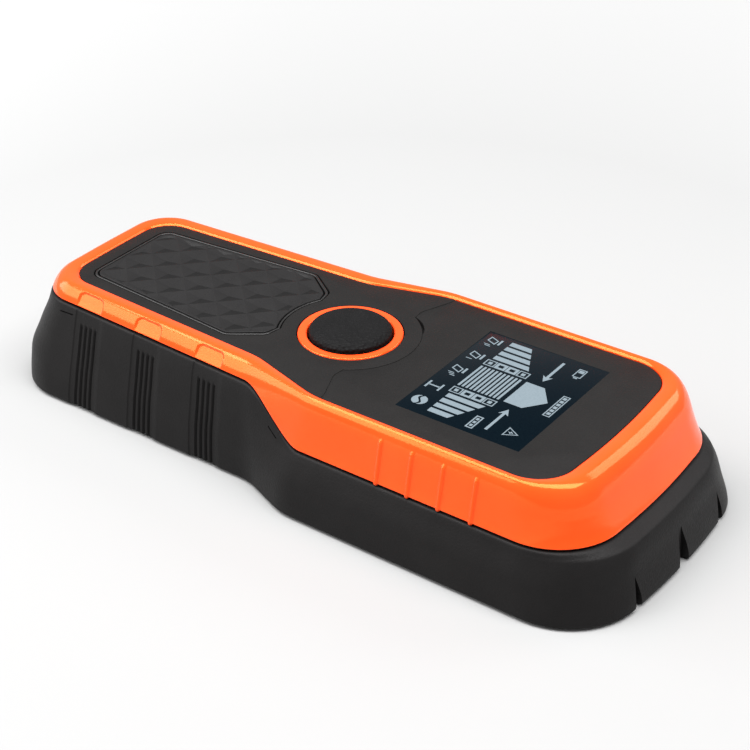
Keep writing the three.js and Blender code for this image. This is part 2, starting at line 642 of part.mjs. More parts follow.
function batteryDoor() {
  const plate = box(-DOOR.half, DOOR.half, -PAST, DOOR.inner, FOOT, DOOR.top);
  const rails = box(-DOOR.railHalf, DOOR.railHalf, -PAST, DOOR.inner, DOOR.railBottom, DOOR.top);
  const grooves = [];
  for (let i = 0; i < GROOVES.count; i += 1) {
    const y = GROOVES.first + i * GROOVES.pitch;
    grooves.push(box(-GROOVES.half, GROOVES.half, y, y + GROOVES.width, 0, FOOT + GROOVES.depth));
  }
  return union([plate, rails]).intersect(caseBody(0.05)).subtract(union(grooves));
}

addPiece('battery_door', batteryDoor(), MATERIALS.blackShell);

CASE_SCREWS.forEach(([x, y], i) => {
  addPiece(`case_screw_${i + 1}`, turned([
    [0, SCREW.seat - GAP - 1.9], [1.2, SCREW.seat - GAP - 1.9], [SCREW.head, SCREW.seat - GAP - 1.2],
    [SCREW.head, SCREW.seat - GAP], [SCREW.shank, SCREW.seat - GAP], [SCREW.shank, SCREW.taper],
    [0.6, SCREW.tip], [0, SCREW.tip],
  ], x, y, 12), MATERIALS.steel);
});

GLIDE_PADS.forEach(([x, y], i) => {
  addPiece(`glide_pad_${i + 1}`, post(x, y, 0, PAD.thick, PAD.radius, 24), MATERIALS.felt);
});

export default assembly;
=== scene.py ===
"""Stud finder: detailed pieces, materials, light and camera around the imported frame.

Lengths in the shape code are millimetres in the frame's axes. They become metres when a mesh
is made.
"""

import functools
import math

import bpy
import numpy as np
from mathutils import Matrix, Vector


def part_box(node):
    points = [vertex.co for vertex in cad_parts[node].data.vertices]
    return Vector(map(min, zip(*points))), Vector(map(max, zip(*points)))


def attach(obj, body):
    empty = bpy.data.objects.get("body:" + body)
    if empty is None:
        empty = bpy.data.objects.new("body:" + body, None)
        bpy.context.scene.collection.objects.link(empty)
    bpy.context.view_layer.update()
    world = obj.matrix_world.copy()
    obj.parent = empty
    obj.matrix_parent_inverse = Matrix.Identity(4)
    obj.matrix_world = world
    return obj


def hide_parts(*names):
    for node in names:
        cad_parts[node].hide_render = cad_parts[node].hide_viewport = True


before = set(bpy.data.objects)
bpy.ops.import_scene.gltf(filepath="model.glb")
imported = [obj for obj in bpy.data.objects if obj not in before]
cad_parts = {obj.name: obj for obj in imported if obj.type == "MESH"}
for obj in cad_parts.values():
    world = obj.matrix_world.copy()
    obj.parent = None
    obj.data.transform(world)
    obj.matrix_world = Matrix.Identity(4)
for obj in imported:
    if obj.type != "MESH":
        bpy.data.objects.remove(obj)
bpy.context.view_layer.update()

MM = 0.001


# -------------------- places read from the frame
def node_box(name):
    """Lowest and highest corner of a CAD node, in millimetres."""
    low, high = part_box(name)
    return np.array(low) / MM, np.array(high) / MM


def node_middle(name):
    low, high = node_box(name)
    return (low + high) / 2


def places_of(kind):
    """Where the four CAD nodes of one kind stand, as (x, y)."""
    return [node_middle(f"{kind}_{i}")[:2] for i in (1, 2, 3, 4)]


BUTTON_Y = float(node_middle("button_ring")[1])
WINDOW_LOW, WINDOW_HIGH = node_box("display_window")
PANEL_TOP = float(node_box("handle_panel")[1][2])
BEZEL_TOP = float(node_box("screen_bezel")[1][2])
PLATE_BOTTOM = float(node_box("handle_panel")[0][2])
FOOT = float(node_box("lower_shell")[0][2])
CASE_SCREWS = places_of("case_screw")
BOARD_SCREWS = places_of("board_screw")
GLIDE_PADS = places_of("glide_pad")

# -------------------- case outline
# One row per height: z, tail corner Y, tail bulge, handle half-widths (start, end), waist Y
# (handle end, head start), head half-widths (start, end), nose corner Y, nose bulge and the
# corner radii of the tail, neck, shoulder and nose.
LEVELS = np.array([
    [0.3, -88.9, 0.6, 30.2, 30.7, -9.5, 4.5, 36.5, 37.5, 87.1, 2.9, 14.5, 16, 16, 18.4],
    [1.0, -89.6, 0.6, 30.9, 31.4, -9.5, 4.5, 37.2, 38.2, 87.8, 2.9, 15.5, 16, 16, 19],
    [8.5, -89.4, 0.6, 29.15, 31.2, -9.8, 4.8, 36.5, 37.3, 86.2, 2.8, 14.4, 16, 16, 20.5],
    [14.8, -87.1, 0.6, 27.3, 30.35, -10.8, 5.9, 34.2, 34.8, 84.7, 2.4, 13.2, 18, 18, 20],
    [15.1, -86.98, 0.6, 27.22, 30.31, -10.84, 5.94, 34.03, 34.7, 84.1, 2.36, 13.17, 18.1,
     18.1, 19.6],
    [16.3, -86.5, 0.6, 26.88, 30.15, -11, 6.1, 33.4, 34.2, 81.55, 2.3, 13.0, 18.4, 18.4, 16.9],
    [16.7, -86.33, 0.6, 26.77, 30.1, -11.05, 6.15, 33.25, 34.05, 81.25, 2.3, 12.9, 18.5, 18.5,
     16.8],
    [22.3, -83.9, 0.5, 25.2, 29.3, -11.9, 7, 32.1, 32.8, 78.7, 2.2, 12, 20, 20, 15.5],
    [26.0, -82.7, 0.5, 24.1, 28.0, -12.2, 7.4, 31.4, 32.0, 77.3, 2.2, 11, 20, 20, 14.5],
    [27.9, -82.0, 0.4, 23.2, 27.0, -12.4, 7.6, 30.9, 31.4, 76.3, 2.2, 10.6, 21, 22, 13.8],
    [29.4, -80.9, 0.3, 22.0, 25.6, -12.5, 7.8, 30.1, 30.5, 74.8, 2.2, 10, 22, 23, 12.6],
    [29.95, -79.6, 0.3, 20.8, 24.3, -12.5, 7.8, 29.3, 29.7, 73.0, 2.2, 9.3, 22, 23, 11.4],
    [29.7, -77.6, 0.2, 18.9, 22.35, -12.6, 7.9, 28.4, 28.75, 70.8, 2.15, 8.3, 22, 24, 10.1],
    [29.3, -77.1, 0.2, 18.4, 21.85, -12.6, 7.9, 27.95, 28.3, 70.25, 2.15, 8, 22, 24, 9.8],
])
END_ROUND = 200.0  # radius where the two slopes of the tail, or of the nose, meet
SEAM_HANDLE = 25.55  # height of the seam between base and frame along the handle
SEAM_HEAD = 16.2  # and along the head
SEAM_DROP = (-12.0, 7.5)  # stretch of Y where the seam comes down
PARTING = 0.62  # width of the gap that shows at the seam
WALL = 2.2
FLOOR = FOOT + WALL
PROFILE_STEPS = 220
ARC_STEPS = 40
SIDE_SPAN = (-69.0, 58.0)  # stretch of Y where columns keep one Y at every height
TAIL_COLUMNS = 60
NOSE_COLUMNS = 80
WALL_STEP = 60  # step of the profile, low on the wall, where each column's Y is read
GROOVE_CENTRES = (-63.35, -43.53, -23.43)
GROOVE_PITCH = 1.62
RIB_CENTRES = (29.2, 37.6, 45.9, 54.4)


def smoothstep(low, high, value):
    t = np.clip((value - low) / (high - low), 0.0, 1.0)
    return t * t * (3 - 2 * t)


def monotone_curve(knots, values, at):
    """Cubic through rows of values at the knots that never overshoots them."""
    gap = np.diff(knots)[:, None]
    slope = np.diff(values, axis=0) / gap
    tangent = np.zeros_like(values)
    tangent[0], tangent[-1] = slope[0], slope[-1]
    before, after = slope[:-1], slope[1:]
    same = before * after > 0
    w1, w2 = 2 * gap[1:] + gap[:-1], gap[1:] + 2 * gap[:-1]
    safe_before, safe_after = np.where(same, before, 1), np.where(same, after, 1)
    tangent[1:-1] = np.where(same, (w1 + w2) / (w1 / safe_before + w2 / safe_after), 0)
    span = np.clip(np.searchsorted(knots, at, side="right") - 1, 0, len(knots) - 2)
    h = gap[span]
    t = ((at - knots[span])[:, None]) / h
    return (
        (1 + 2 * t) * (1 - t) ** 2 * values[span]
        + t * (1 - t) ** 2 * h * tangent[span]
        + t * t * (3 - 2 * t) * values[span + 1]
        + t * t * (t - 1) * h * tangent[span + 1]
    )


def corner_arc(before, corner, after, radius, steps):
    """Points that round one corner of a polygon."""
    if radius == 0:
        return [corner]
    back = (before - corner) / np.linalg.norm(before - corner)
    ahead = (after - corner) / np.linalg.norm(after - corner)
    half = math.acos(max(-1.0, min(1.0, float(back @ ahead)))) / 2
    middle = (back + ahead) / np.linalg.norm(back + ahead)
    centre = corner + middle * radius / math.sin(half)
    reach = radius / math.tan(half)
    first, last = corner + back * reach - centre, corner + ahead * reach - centre
    start = math.atan2(first[1], first[0])
    sweep = (math.atan2(last[1], last[0]) - start + math.pi) % (2 * math.pi) - math.pi
    angles = start + sweep * np.linspace(0, 1, steps + 1)
    return [centre + radius * np.array([math.cos(a), math.sin(a)]) for a in angles]


def mirrored(corners):
    """Corners (x, y, radius) of the right-hand side turned into those of the left-hand side."""
    return [(-x, y, radius) for x, y, radius in reversed(corners)]


def rounded_loop(corners, steps):
    """Closed loop through corners given as (x, y, radius)."""
    points = [np.array(c[:2], float) for c in corners]
    loop = []
    for i, corner in enumerate(corners):
        after = points[(i + 1) % len(points)]
        loop += corner_arc(points[i - 1], points[i], after, corner[2], steps)
    return np.array(loop)


def right_corners(level, inset):
    """Corners of the outline's right half, from the middle of the tail to that of the nose."""
    (_, tail_y, tail_bulge, handle0, handle1, waist0, waist1, head0, head1, nose_y, nose_bulge,
     tail_r, neck_r, shoulder_r, nose_r) = level
    return [
        (0.0, tail_y - tail_bulge + inset, END_ROUND),
        (handle0 - inset, tail_y + inset, tail_r - inset),
        (handle1 - inset, waist0, neck_r + inset),
        (head0 - inset, waist1, shoulder_r - inset),
        (head1 - inset, nose_y - inset, nose_r - inset),
        (0.0, nose_y + nose_bulge - inset, END_ROUND),
    ]


def right_half(level, inset):
    """Dense line along the outline's right half, from the tail's middle to the nose's."""
    corners = right_corners(level, inset)
    loop = rounded_loop([*corners, *mirrored(corners[1:-1])], ARC_STEPS)
    start = ARC_STEPS // 2
    return loop[start:start + (ARC_STEPS + 1) * (len(corners) - 1) + 1]


def side_stations():
    """Y of each column along the straight sides, closer together at grooves and ribs."""
    step, groove_reach, rib_reach, apart = 0.2, 5.3, 1.2, 0.3
    centres = [(c, groove_reach) for c in GROOVE_CENTRES] + [(c, rib_reach) for c in RIB_CENTRES]
    fine = [np.arange(c - reach, c + reach + step / 2, step) for c, reach in centres]
    coarse = np.arange(SIDE_SPAN[0], SIDE_SPAN[1] + 0.5)
    kept = [y for y in coarse if all(y < f[0] - apart or y > f[-1] + apart for f in fine)]
    return np.sort(np.concatenate([kept, *fine]))


STATIONS = side_stations()


def resample(line):
    """The half outline at a fixed set of columns."""
    y = line[:, 1]
    first, last = (int(np.argmax(y > end)) for end in SIDE_SPAN)
    straight = slice(first - 1, last + 1)
    side = np.c_[np.interp(STATIONS, y[straight], line[straight, 0]), STATIONS]
    tail = along(np.vstack([line[:first], side[0]]), TAIL_COLUMNS)[:-1]
    nose = along(np.vstack([side[-1], line[last:]]), NOSE_COLUMNS)[1:]
    half = np.vstack([tail, side, nose])
    half[0, 0] = half[-1, 0] = 0.0
    return half


def along(line, count):
    """A line resampled to count points evenly spaced by length."""
    length = np.r_[0, np.cumsum(np.linalg.norm(np.diff(line, axis=0), axis=1))]
    at = np.linspace(0, length[-1], count)
    return np.c_[np.interp(at, length, line[:, 0]), np.interp(at, length, line[:, 1])]


def full_loop(half):
    """Mirrors the right half outline into a closed counter-clockwise loop."""
    return np.vstack([half, half[-2:0:-1] * [-1, 1]])


LEVEL_AT = np.r_[0, np.cumsum(np.hypot(np.diff(LEVELS[:, 0]), np.diff(LEVELS[:, 3])))]
PROFILE_AT = np.linspace(0, LEVEL_AT[-1], PROFILE_STEPS)
PROFILE = monotone_curve(LEVEL_AT, LEVELS, PROFILE_AT)
CREST = int(np.argmax(PROFILE[:, 0]))


@functools.cache
def grid(inset):
    """The outline's columns at every step of the profile, pulled in by inset."""
    return np.array([full_loop(resample(right_half(p, inset))) for p in PROFILE])


def at_profile(inset, where):
    """Points at profile position where (one per column)."""
    points = grid(inset)
    last = PROFILE_STEPS - 1
    step = np.clip(where / LEVEL_AT[-1] * last, 0, last - 1e-6)
    low = step.astype(int)
    share = (step - low)[:, None]
    column = np.arange(points.shape[1])
    xy = points[low, column] * (1 - share) + points[low + 1, column] * share
    z = np.interp(where, PROFILE_AT, PROFILE[:, 0])
    return np.c_[xy, z]


def place_of_height(z):
    """Position along the profile where the outside of the case is at height z."""
    return np.interp(z, PROFILE[:CREST + 1, 0], PROFILE_AT[:CREST + 1])


def at_height(inset, z, shown_z=None):
    """Points where the outside of the case is at height z, placed at shown_z."""
    z = np.broadcast_to(z, SEAM.shape)
    points = at_profile(inset, place_of_height(z))
    points[:, 2] = z if shown_z is None else shown_z
    return points


COLUMN_Y = grid(0.0)[WALL_STEP, :, 1]
SEAM = SEAM_HANDLE + (SEAM_HEAD - SEAM_HANDLE) * smoothstep(*SEAM_DROP, COLUMN_Y)
SEAM_AT = place_of_height(SEAM)
FRAME_AT = place_of_height(SEAM + PARTING)


# -------------------- mesh helpers
AXIS = 0.02  # radius that a turned profile has at its axis
BEVEL_ANGLE = 40.0


def new_object(name, data):
    thing = bpy.data.objects.new(name, data)
    bpy.context.scene.collection.objects.link(thing)
    return thing


def make_object(name, points, faces):
    """Mesh object from points in millimetres."""
    mesh = bpy.data.meshes.new(name)
    mesh.from_pydata((np.asarray(points, float) * MM).tolist(), [], faces)
    mesh.validate()
    mesh.update()
    return new_object(name, mesh)


def wrap_faces(rows, columns, closed):
    """Quads between neighbouring rows of columns; closed joins the last row to the first."""
    faces = []
    for r in range(rows if closed else rows - 1):
        a, b = r * columns, ((r + 1) % rows) * columns
        faces += [(a + k, a + (k + 1) % columns, b + (k + 1) % columns, b + k)
                  for k in range(columns)]
    return faces


def loft(name, rows, closed=False):
    """Closed solid through rows of points: a ring if closed, else capped at both ends."""
    count = len(rows[0])
    faces = wrap_faces(len(rows), count, closed)
    if not closed:
        start = (len(rows) - 1) * count
        faces.append(tuple(range(count - 1, -1, -1)))
        faces.append(tuple(range(start, start + count)))
    return make_object(name, np.vstack(rows), faces)


def level_row(loop, z):
    return np.c_[loop, np.full(len(loop), z)]


def prism(name, loop, z0, z1):
    return loft(name, [level_row(np.asarray(loop, float), z) for z in (z0, z1)])


def slab(x0, x1, y0, y1, z0, z1, name="cutter"):
    return prism(name, [(x0, y0), (x1, y0), (x1, y1), (x0, y1)], z0, z1)


def wide_slab(half, y0, y1, z0, z1):
    """Block that reaches as far to the left as to the right."""
    return slab(-half, half, y0, y1, z0, z1)


def circle(radius, x, y, sides):
    angle = 2 * np.pi * np.arange(sides) / sides
    return np.c_[x + radius * np.cos(angle), y + radius * np.sin(angle)]


def posts(places, z0, z1, radius, sides=48):
    """Upright cylinders, one at each (x, y)."""
    return [prism("cutter", circle(radius, x, y, sides), z0, z1) for x, y in places]


def turned(name, profile, x, y, sides, closed=False):
    """Solid of revolution from (radius, z) pairs that run up the outside."""
    rows = [level_row(circle(r, x, y, sides), z) for r, z in profile]
    return loft(name, rows, closed)


def rounded_profile(corners, steps):
    """Open line through corners given as (radius, z, rounding), its ends left as they are."""
    points = [np.array(c[:2], float) for c in corners]
    out = [points[0]]
    for i in range(1, len(points) - 1):
        out += corner_arc(points[i - 1], points[i], points[i + 1], corners[i][2], steps)
    return [*out, points[-1]]


def apply_modifiers(piece):
    graph = bpy.context.evaluated_depsgraph_get()
    mesh = bpy.data.meshes.new_from_object(piece.evaluated_get(graph))
    piece.modifiers.clear()
    old = piece.data
    piece.data = mesh
    bpy.data.meshes.remove(old)


def combine(piece, others, operation):
    """Adds or cuts the other solids, which are used up."""
    for other in others:
        modifier = piece.modifiers.new("combine", "BOOLEAN")
        modifier.operation = operation
        modifier.solver = "MANIFOLD"
        modifier.object = other
        apply_modifiers(piece)
        bpy.data.objects.remove(other)
    return piece


def cut(piece, cutters):
    return combine(piece, cutters, "DIFFERENCE")


def join(piece, parts):
    return combine(piece, parts, "UNION")


def soften(piece, angle=32):
    """Smooth shading with creases sharper than angle, in degrees, kept."""
    piece.data.shade_smooth()
    piece.data.set_sharp_from_angle(angle=math.radians(angle))
    return piece


def bevel(piece, width, segments):
    """Rounds the edges that turn by more than BEVEL_ANGLE."""
    modifier = piece.modifiers.new("edge", "BEVEL")
    modifier.width = width * MM
    modifier.segments = segments
    modifier.limit_method = "ANGLE"
    modifier.angle_limit = math.radians(BEVEL_ANGLE)
    apply_modifiers(piece)
    return piece


# -------------------- materials
def new_material(name):
    material = bpy.data.materials.new(name)
    material.use_nodes = True
    tree = material.node_tree
    shader = tree.nodes["Principled BSDF"]
    place = tree.nodes.new("ShaderNodeTexCoord").outputs["Object"]
    return material, tree, shader, place


def set_inputs(node, values):
    for socket, value in values.items():
        node.inputs[socket].default_value = value


def add_node(tree, kind, socket, source, values):
    """New shader node with its input values, fed by source through one socket."""
    node = tree.nodes.new("ShaderNode" + kind)
    set_inputs(node, values)
    tree.links.new(source, node.inputs[socket])
    return node


def noise(tree, place, size, detail=4.0, rough=0.55):
    """Noise texture whose features are about size millimetres wide."""
    values = {"Scale": 1 / (size * MM), "Detail": detail, "Roughness": rough}
    return add_node(tree, "TexNoise", "Vector", place, values).outputs["Fac"]


def cells(tree, place, size):
    """Distance from the middle of the nearest of many cells about size millimetres wide."""
    values = {"Scale": 1 / (size * MM)}
    return add_node(tree, "TexVoronoi", "Vector", place, values).outputs["Distance"]


def remap(tree, source, low, high, start=0.3, end=0.7):
    values = {"From Min": start, "From Max": end, "To Min": low, "To Max": high}
    return add_node(tree, "MapRange", "Value", source, values).outputs["Result"]


def blend_colours(tree, source, first, second):
    node = tree.nodes.new("ShaderNodeMix")
    node.data_type = "RGBA"
    set_inputs(node, {"A": (*first, 1), "B": (*second, 1)})
    tree.links.new(source, node.inputs["Factor"])
    return node.outputs["Result"]


def paint(tree, shader, field, first, second):
    """Base colour that drifts between two colours with a 0 to 1 field."""
    colour = blend_colours(tree, remap(tree, field, 0, 1), first, second)
    tree.links.new(colour, shader.inputs["Base Color"])
    return colour


def roughen(tree, shader, field, low, high, start=0.3, end=0.7):
    tree.links.new(remap(tree, field, low, high, start, end), shader.inputs["Roughness"])


def add_bump(tree, shader, source, height):
    """Bump from a 0 to 1 field that stands height millimetres tall."""
    node = add_node(tree, "Bump", "Height", source, {"Strength": 1, "Distance": height * MM})
    tree.links.new(node.outputs["Normal"], shader.inputs["Normal"])


def surface(name, first, second, rough, mottle, grain, relief, metal, shine, tint):
    """Moulded or metal finish: two close colours, uneven gloss and a fine grain.

    rough is (low, high) roughness, mottle the size of the colour patches, grain the size of
    the texture's bumps and relief their height, all sizes in millimetres.
    """
    material, tree, shader, place = new_material(name)
    paint(tree, shader, noise(tree, place, mottle), first, second)
    fine = noise(tree, place, grain, 3.0)
    roughen(tree, shader, fine, *rough)
    add_bump(tree, shader, fine, relief)
    set_inputs(shader, {"Metallic": metal, "Specular IOR Level": shine,
                        "Specular Tint": (*tint, 1)})
    return material


def leather_grain(name, first, second, rough, size, relief, shine):
    """Rubber with a pebbled grain: cells about size millimetres wide, dull valleys between."""
    material, tree, shader, place = new_material(name)
    pebbles = remap(tree, cells(tree, place, size), 1, 0, 0.1, 0.75)
    paint(tree, shader, noise(tree, place, size * 6), first, second)
    roughen(tree, shader, pebbles, rough[1], rough[0], 0, 1)
    add_bump(tree, shader, pebbles, relief)
    set_inputs(shader, {"Specular IOR Level": shine})
    return material


def display_with_painted_glow(name, first, second, painted_glow, rough):
    """Display glass whose picture gives off painted light: its own colours glow in place of the
    light that reaches it through the cover, with a faint pixel weave.
    """
    material, tree, shader, place = new_material(name)
    weave = noise(tree, place, 0.35, 1.0)
    colour = paint(tree, shader, weave, first, second)
    tree.links.new(colour, shader.inputs["Emission Color"])
    roughen(tree, shader, weave, *rough)
    set_inputs(shader, {"Emission Strength": painted_glow, "Specular IOR Level": 0.08})
    return material


def circuit_board():
    """Green board: solder mask over copper tracks and pads."""
    material, tree, shader, place = new_material("circuit_board")
    tracks = add_node(tree, "TexBrick", "Vector", place, {
        "Scale": 1 / (8 * MM), "Mortar Size": 0.03, "Color1": (0.006, 0.09, 0.03, 1),
        "Color2": (0.008, 0.12, 0.045, 1), "Mortar": (0.03, 0.22, 0.08, 1)})
    tree.links.new(tracks.outputs["Color"], shader.inputs["Base Color"])
    roughen(tree, shader, noise(tree, place, 0.6), 0.25, 0.45)
    add_bump(tree, shader, tracks.outputs["Fac"], 0.04)
    return material


def felt_cloth(name, first, second):
    """Short felted pile."""
    material, tree, shader, place = new_material(name)
    pile = noise(tree, place, 0.25, 6.0, 0.7)
    paint(tree, shader, pile, first, second)
    roughen(tree, shader, pile, 0.85, 1.0)
    add_bump(tree, shader, pile, 0.15)
    set_inputs(shader, {"Sheen Weight": 0.4})
    return material


# Two colours, roughness, size of the colour patches, size and height of the grain.
MOULDED = {
    "black_shell": ((0.0088, 0.0082, 0.0082), (0.0108, 0.0101, 0.0101), (0.4, 0.52), 9, 0.5, 0.06),
    "orange_shell": ((0.97, 0.064, 0.008), (1.0, 0.072, 0.011), (0.1, 0.15), 14, 1.6, 0.0015),
    "black_panel": ((0.0060, 0.0055, 0.0054), (0.0078, 0.0071, 0.0069), (0.55, 0.68), 7, 0.5, 0.13),
    "black_trim": ((0.0060, 0.0055, 0.0054), (0.0078, 0.0071, 0.0069), (0.3, 0.4), 7, 0.3, 0.01),
    "grip_rubber": ((0.0087, 0.0082, 0.0084), (0.0107, 0.0102, 0.0104), (0.46, 0.6), 5, 0.4, 0.04),
    # grip_painted_shade: darker copy of grip_rubber, painted shade for the dimple sides that face
    # the tail and the left
    "grip_painted_shade": ((0.0058, 0.0056, 0.0057), (0.0074, 0.0071, 0.0072), (0.5, 0.6), 5, 0.3, 0.01),
    "white_plastic": ((0.72, 0.72, 0.69), (0.8, 0.8, 0.77), (0.35, 0.5), 8, 0.3, 0.01),
    "chip_black": ((0.012, 0.012, 0.013), (0.02, 0.02, 0.021), (0.4, 0.6), 3, 0.15, 0.01),
    "copper_foil": ((0.7, 0.32, 0.16), (0.85, 0.42, 0.22), (0.22, 0.4), 4, 0.5, 0.004),
    "plated_steel": ((0.5, 0.5, 0.51), (0.64, 0.64, 0.66), (0.2, 0.38), 2, 0.3, 0.006),
    "battery_can": ((0.32, 0.34, 0.37), (0.44, 0.46, 0.49), (0.25, 0.42), 6, 0.8, 0.01),
    "red_wire": ((0.42, 0.012, 0.012), (0.55, 0.02, 0.02), (0.35, 0.5), 3, 0.4, 0.006),
    "black_wire": ((0.012, 0.012, 0.012), (0.02, 0.02, 0.02), (0.35, 0.5), 3, 0.4, 0.006),
}
METALS = ("copper_foil", "plated_steel", "battery_can")
SHINE = {"black_shell": 0.1, "orange_shell": 0.9, "black_panel": 0.16, "black_trim": 0.42,
         "grip_rubber": 0.17, "grip_painted_shade": 0.1}
TINT = {"orange_shell": (1.0, 0.55, 0.15)}
FINISH = {
    name: surface(name, *row, metal=float(name in METALS), shine=SHINE.get(name, 0.5),
                  tint=TINT.get(name, (1, 1, 1)))
    for name, row in MOULDED.items()
}
FINISH["soft_rubber"] = leather_grain("soft_rubber", (0.0045, 0.0044, 0.0046),
                                      (0.006, 0.0058, 0.0061), (0.5, 0.72), 0.9, 0.2, 0.09)
# Painted light: the display's glass and marks glow with their own colours
FINISH["lcd_glass"] = display_with_painted_glow("lcd_glass", (0.0001, 0.0021, 0.0043), (0.0002, 0.0028, 0.0052),
                                  0.3, (0.18, 0.26))
FINISH["lcd_marks"] = display_with_painted_glow("lcd_marks", (0.11, 0.138, 0.156), (0.123, 0.151, 0.17), 0.4,
                                  (0.3, 0.4))
FINISH["circuit_board"] = circuit_board()
FINISH["felt"] = felt_cloth("felt", (0.03, 0.03, 0.032), (0.055, 0.055, 0.058))
FINISH["foam"] = felt_cloth("foam", (0.1, 0.1, 0.11), (0.16, 0.16, 0.17))


def finish_piece(piece, body, slot, nodes=(), finish=None):
    """Gives a new piece its material and its body, and hides the CAD nodes that it stands for."""
    piece.data.materials.clear()
    piece.data.materials.append(FINISH[finish or slot])
    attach(piece, body)
    if nodes:
        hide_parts(*nodes)
    return piece


# -------------------- case
RECESS = {"start": (-4.75, -4.4), "end": (3.2, 5.2), "depth": 0.2}
GROOVE = {"half": 0.42, "depth": 0.55, "top": (21.6, 22.5)}
SEAM_ROLL = [(0.04, 0.26), (0.13, 0.1), (0.3, 0)]  # inset and drop of the edge that rolls in
TONGUE = {"outer": 1.2, "inner": 2.15, "height": 1.5}  # lip of the base inside the frame
BOSS_RADIUS = 3.3
SCREW_HOLE = 1.7
BAY_WALL = (13.9, 15.3)  # inner and outer X of the battery bay's side walls
BAY_END = (-26, -24.6)  # Y of its end wall
RAIL_SEAT = (13.8, 19.0)  # X of the thick floor over each rail of the door
DOOR_SLOT = (-100, -24.2)  # Y of the door's way out, past the tail
NOTCHES = [(0, 4.8, 12.0, 2.3), (19.4, 2.7, 8.4, 1.6), (-19.4, 2.7, 8.4, 1.6)]
SIDE_SLOTS = [((-73.4, 23.35), (-68.9, 23.65)), ((-2.9, 18.75), (0.2, 16.85))]  # ends, as (y, z)


def row_normals(rows):
    """Outward unit normals of a stack of closed rows."""
    across = np.roll(rows, -1, axis=1) - np.roll(rows, 1, axis=1)
    up = np.gradient(rows, axis=0)
    normal = np.cross(across, up)
    return normal / np.maximum(np.linalg.norm(normal, axis=2, keepdims=True), 1e-9)


def ridge_shape(distance, half):
    """Parabola that is 1 at distance 0 and 0 from half onward."""
    return np.clip(1 - (distance / half) ** 2, 0, 1)


def groove_depth(rows):
    """Depth of the finger grooves and the shallow recess round each group of them."""
    fade = 1 - smoothstep(*GROOVE["top"], rows[..., 2])
    depth = np.zeros_like(fade)
    for centre in GROOVE_CENTRES:
        y = rows[..., 1] - centre
        recess = smoothstep(*RECESS["start"], y) * (1 - smoothstep(*RECESS["end"], y))
        depth = np.maximum(depth, RECESS["depth"] * recess)
        for k in (-1.5, -0.5, 0.5, 1.5):
            near = ridge_shape(y - k * GROOVE_PITCH, GROOVE["half"])
            groove = RECESS["depth"] + GROOVE["depth"] * near * fade
            depth = np.where(near * fade > 0, np.maximum(depth, groove), depth)
    return depth


def base_outer_rows():
    """Outside of the base from its foot to the seam, rows a little closer near the seam."""
    row_count, crowding, skin_end = 64, 0.92, 0.4
    shares = np.linspace(0, 1, row_count) ** crowding
    rows = [at_profile(0.0, (SEAM_AT - skin_end) * s) for s in shares]
    rows += [at_profile(inset, SEAM_AT - drop) for inset, drop in SEAM_ROLL]
    rows = np.array(rows)
    return rows - row_normals(rows) * groove_depth(rows)[..., None]


def base_case():
    """Black lower half: skin with grooves, tongue, floor, bosses and the battery bay."""
    rows = list(base_outer_rows())
    tongue_top = SEAM + TONGUE["height"]
    rows += [at_height(TONGUE["outer"], SEAM), at_height(TONGUE["outer"], tongue_top),
             at_height(TONGUE["inner"], tongue_top)]
    rows += [at_height(WALL, SEAM * (1 - s) + FLOOR * s) for s in np.linspace(0, 1, 8)]
    piece = loft("base_case", rows)
    bosses = posts(CASE_SCREWS, FOOT + 1, 15.9, BOSS_RADIUS)
    board_posts = posts(BOARD_SCREWS, FLOOR - 0.5, 14.9, 2.8)
    join(piece, bay_walls() + bosses + board_posts)
    cut(piece, floor_cutters())
    return soften(piece)


def bay_walls():
    """Walls of the battery bay and the thick floor beside it, sunk into the case's floor."""
    bay_top, bay_tail = 20.4, -84
    walls = [wide_slab(BAY_WALL[1], *BAY_END, FLOOR - 0.5, bay_top + 0.1)]
    for side in (-1, 1):
        wall, seat = (sorted(side * x for x in span) for span in (BAY_WALL, RAIL_SEAT))
        walls.append(slab(*wall, bay_tail, -24.8, FLOOR - 0.4, bay_top))
        walls.append(slab(*seat, bay_tail - 2, -22.5, FLOOR - 0.3, FLOOR + 1.2))
    return walls


def notch_cutter(x, width, height, depth):
    """Marking notch in the case's nose: wide at the bottom, pointed at its top."""
    nose_y, nose_bow = 90.4, 300
    face_y = nose_y - x * x / nose_bow
    half, bottom = width / 2, FOOT - 0.5
    bend, bend_z = half * 0.7, height * 0.45
    outline = [(x - half, bottom), (x + half, bottom), (x + bend, bend_z), (x, height),
               (x - bend, bend_z)]
    rows = [[(px, y, pz) for px, pz in outline] for y in (face_y + 3, face_y - depth)]
    return loft("cutter", rows)


def floor_cutters():
    """Openings in the underside: door, screws, pads, plus the notches in the nose."""
    below, slot_top = -1, 2.5
    battery_opening = wide_slab(BAY_WALL[0], -82, BAY_END[0], below, FLOOR + 2)
    plate_slot = wide_slab(15.8, *DOOR_SLOT, below, slot_top)
    rail_slot = wide_slab(17.2, *DOOR_SLOT, 1.1, slot_top)
    lead_passage = wide_slab(6, -27, -23.6, 17, 21.5)
    holes = []
    for place in CASE_SCREWS:
        holes += posts([place], below, 4.3, 3.0) + posts([place], below, 17, SCREW_HOLE, 32)
    holes += posts(BOARD_SCREWS, 10, 17, 1.4, 32) + posts(GLIDE_PADS, below, 1.2, 3.8)
    notches = [notch_cutter(*notch) for notch in NOTCHES]
    return [battery_opening, plate_slot, rail_slot, lead_passage] + holes + notches + side_slots()


def wall_point(y, z):
    """Point on the right-hand wall of the case."""
    level = monotone_curve(LEVEL_AT, LEVELS, np.array([place_of_height(z)]))[0]
    line = right_half(level, 0.0)
    ends_x = 15  # nearer the middle, the line belongs to the tail or the nose
    side = line[line[:, 0] > ends_x]
    return np.array([np.interp(y, side[:, 1], side[:, 0]), y, z])


